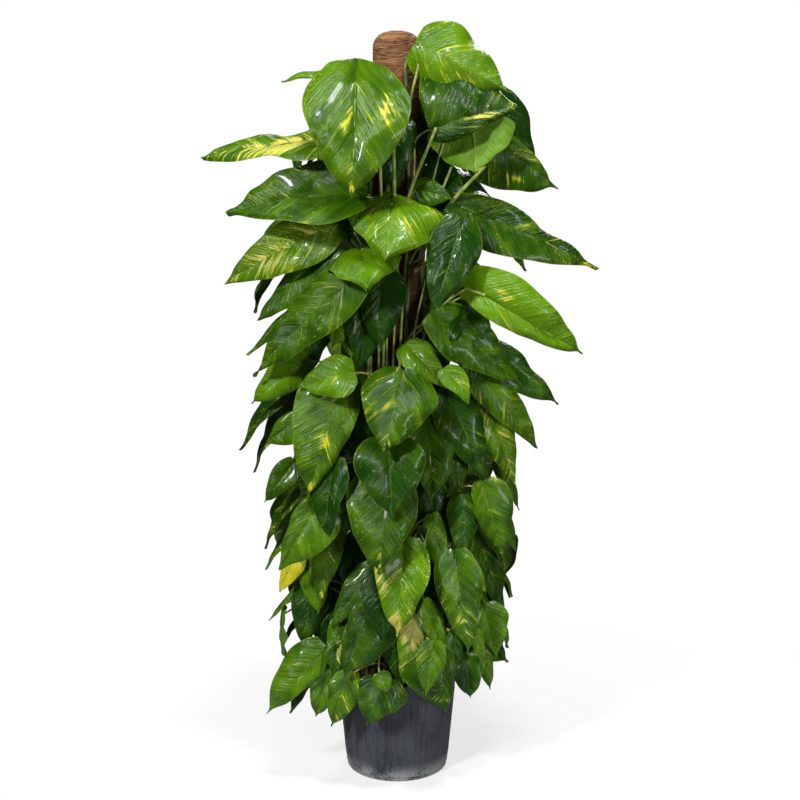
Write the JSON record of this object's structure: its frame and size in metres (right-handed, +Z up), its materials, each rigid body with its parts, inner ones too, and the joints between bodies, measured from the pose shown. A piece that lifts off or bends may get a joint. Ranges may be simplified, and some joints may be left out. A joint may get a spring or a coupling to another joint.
{
  "type": "potted golden pothos on a coir pole",
  "caption": "Tall variegated golden pothos climbing a brown coir pole in a dark ribbed nursery pot, with glossy heart-shaped leaves streaked in yellow and cream.",
  "frame": {"origin": "centre of the pot's underside, on the surface it stands on", "axes": "+Z up along the pole; the front of the plant, as pictured, faces -Y; +X is the viewer's right"},
  "size_m": [0.7528, 0.5449, 1.4965],
  "materials": {
    "pot_plastic": "matt anthracite polypropylene with fine upright ribs",
    "potting_soil": "dark crumbly potting soil, fully rough",
    "stake_wood": "plain untreated softwood stake",
    "coir_fibre": "brown coconut fibre wound round the pole, fully rough",
    "tie_plastic": "dark green soft garden tie",
    "vine_green": "waxy glossy leaf green, splashed with yellow and cream"
  },
  "bodies": {
    "root": {"pot": "pot_plastic", "soil": "potting_soil", "pole_core": "stake_wood", "coir_sleeve": "coir_fibre", "tie_band_1": "tie_plastic", "tie_band_2": "tie_plastic", "vine_1": "vine_green", "vine_2": "vine_green", "vine_3": "vine_green", "vine_4": "vine_green", "vine_5": "vine_green", "vine_6": "vine_green", "vine_7": "vine_green", "vine_8": "vine_green"}
  },
  "joints": []
}
